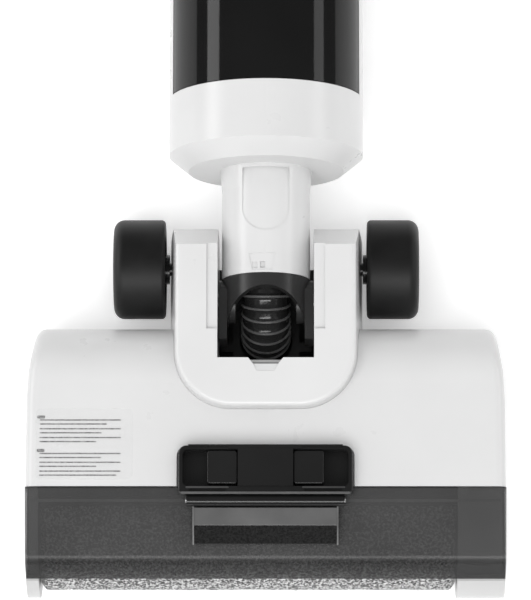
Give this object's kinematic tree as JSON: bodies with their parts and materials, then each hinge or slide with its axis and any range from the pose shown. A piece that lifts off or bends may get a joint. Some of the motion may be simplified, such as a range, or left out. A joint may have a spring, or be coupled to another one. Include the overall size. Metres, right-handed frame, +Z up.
{
  "type": "wet dry floor scrubber",
  "caption": "Cordless wet and dry floor scrubber with a motor-driven microfibre roller, smoked lift-off cover, jointed neck and two tanks.",
  "frame": {"origin": "centre of the footprint on the floor, with the machine lying flat on its back", "axes": "+X across the head to its driven end, +Y from the roller to the handle, +Z up"},
  "size_m": [0.284, 1.1096, 0.1191],
  "materials": {
    "white_plastic": "smooth moulded",
    "black_plastic": "smooth moulded",
    "black_matte": "fine texture",
    "grey_plastic": "satin",
    "smoked_plastic": "polished, see-through",
    "clear_plastic": "polished, see-through",
    "rubber": "matte",
    "tyre_rubber": "satin",
    "microfibre": "short speckled pile",
    "steel": "brushed",
    "brass": "plated",
    "board": "solder mask",
    "cell_wrap": "shrink wrap",
    "filter_paper": "pleated paper",
    "label": "clear film"
  },
  "bodies": {
    "head": {"head_upper_shell": "white_plastic", "yoke_cover": "white_plastic", "head_base_plate": "black_matte", "sole_screws": "steel", "left_end_cap": "white_plastic", "right_drive_housing": "white_plastic", "roller_hood": "black_matte", "scraper_blade": "rubber", "water_spray_bar": "grey_plastic", "rear_squeegee": "rubber", "suction_duct": "black_matte", "hose_socket": "black_matte", "suction_hose": "rubber", "roller_motor": "steel", "drive_belt": "rubber", "pivot_pins": "steel", "charging_contacts": "brass", "label_film": "label"},
    "pinion": {"drive_pinion": "steel"},
    "roller": {"roller_sleeve": "microfibre", "roller_core": "grey_plastic", "roller_left_plug": "black_matte", "roller_drive_pulley": "black_matte"},
    "right_wheel": {"wheel_right": "tyre_rubber", "wheel_hub_right": "black_plastic"},
    "left_wheel": {"wheel_left": "tyre_rubber", "wheel_hub_left": "black_plastic"},
    "cover": {"cover_window": "smoked_plastic", "latch_housing": "black_plastic", "latch_tongue": "black_plastic"},
    "left_latch_button": {"latch_button_left": "black_plastic"},
    "right_latch_button": {"latch_button_right": "black_plastic"},
    "fork": {"neck_fork": "black_matte", "swivel_ring": "steel"},
    "handle_body": {"neck_tube": "white_plastic", "body_cup": "white_plastic", "body_spine": "white_plastic", "inlet_pipe": "black_matte", "water_pump": "grey_plastic", "motor_housing": "white_plastic", "display_lens": "black_plastic", "exhaust_grille": "black_matte", "suction_motor": "steel", "battery_cells": "cell_wrap", "battery_tray": "black_matte", "control_board": "board", "handle_socket": "white_plastic", "handle_tube": "steel", "handle_grip": "black_matte"},
    "dirty_tank": {"tank_shell": "smoked_plastic", "tank_lid": "black_plastic", "tank_filter": "filter_paper", "tank_seal": "rubber"},
    "float": {"tank_float": "grey_plastic"},
    "tank_button": {"tank_release_button": "grey_plastic"},
    "clean_tank_body": {"clean_tank": "clear_plastic"},
    "clean_cap": {"clean_tank_cap": "rubber"},
    "fan": {"fan_impeller": "grey_plastic"},
    "power_key": {"power_button": "grey_plastic"},
    "clean_key": {"clean_button": "grey_plastic"}
  },
  "joints": [
    {"name": "recline", "type": "hinge", "parent": "head", "child": "fork", "pos_m": [0, -0.38015, 0.06], "axis": [1, 0, 0], "range_deg": [0, 90], "deforming": ["suction_hose"]},
    {"name": "swivel", "type": "hinge", "parent": "fork", "child": "handle_body", "pos_m": [0, -0.38015, 0.06], "axis": [0, 1, 0], "range_deg": [-45, 45]},
    {"name": "roller_spin", "type": "hinge", "parent": "head", "child": "roller", "pos_m": [0, -0.51465, 0.036], "axis": [1, 0, 0], "continuous": true},
    {"name": "pinion_spin", "type": "hinge", "parent": "head", "child": "pinion", "pos_m": [0, -0.44515, 0.03], "axis": [1, 0, 0], "continuous": true},
    {"name": "right_wheel_spin", "type": "hinge", "parent": "head", "child": "right_wheel", "pos_m": [0, -0.35415, 0.03], "axis": [1, 0, 0], "continuous": true},
    {"name": "left_wheel_spin", "type": "hinge", "parent": "head", "child": "left_wheel", "pos_m": [0, -0.35415, 0.03], "axis": [1, 0, 0], "continuous": true},
    {"name": "cover_lift", "type": "slide", "parent": "head", "child": "cover", "axis": [0, 0, 1], "range_m": [0, 0.05]},
    {"name": "left_latch_press", "type": "slide", "parent": "cover", "child": "left_latch_button", "axis": [1, 0, 0], "range_m": [0, 0.0025], "stiffness_N_per_m": 800},
    {"name": "right_latch_press", "type": "slide", "parent": "cover", "child": "right_latch_button", "axis": [-1, 0, 0], "range_m": [0, 0.0025], "stiffness_N_per_m": 800},
    {"name": "tank_slide", "type": "slide", "parent": "handle_body", "child": "dirty_tank", "axis": [0, 0, 1], "range_m": [0, 0.09]},
    {"name": "float_rise", "type": "slide", "parent": "dirty_tank", "child": "float", "axis": [0, 1, 0], "range_m": [0, 0.012]},
    {"name": "tank_button_press", "type": "slide", "parent": "dirty_tank", "child": "tank_button", "axis": [0, 0, -1], "range_m": [0, 0.0022], "stiffness_N_per_m": 800},
    {"name": "clean_tank_slide", "type": "slide", "parent": "handle_body", "child": "clean_tank_body", "axis": [0, 0, -1], "range_m": [0, 0.08]},
    {"name": "clean_cap_pull", "type": "slide", "parent": "clean_tank_body", "child": "clean_cap", "axis": [0, 0, -1], "range_m": [0, 0.02]},
    {"name": "fan_spin", "type": "hinge", "parent": "handle_body", "child": "fan", "pos_m": [0, -0.01515, 0.06], "axis": [0, 1, 0], "continuous": true},
    {"name": "power_press", "type": "slide", "parent": "handle_body", "child": "power_key", "axis": [0, 0, -1], "range_m": [0, 0.0015], "stiffness_N_per_m": 800},
    {"name": "clean_press", "type": "slide", "parent": "handle_body", "child": "clean_key", "axis": [0, 0, -1], "range_m": [0, 0.0015], "stiffness_N_per_m": 800}
  ],
  "couplings": [
    {"joint": "pinion_spin", "follows": "roller_spin", "ratio": 2}
  ]
}
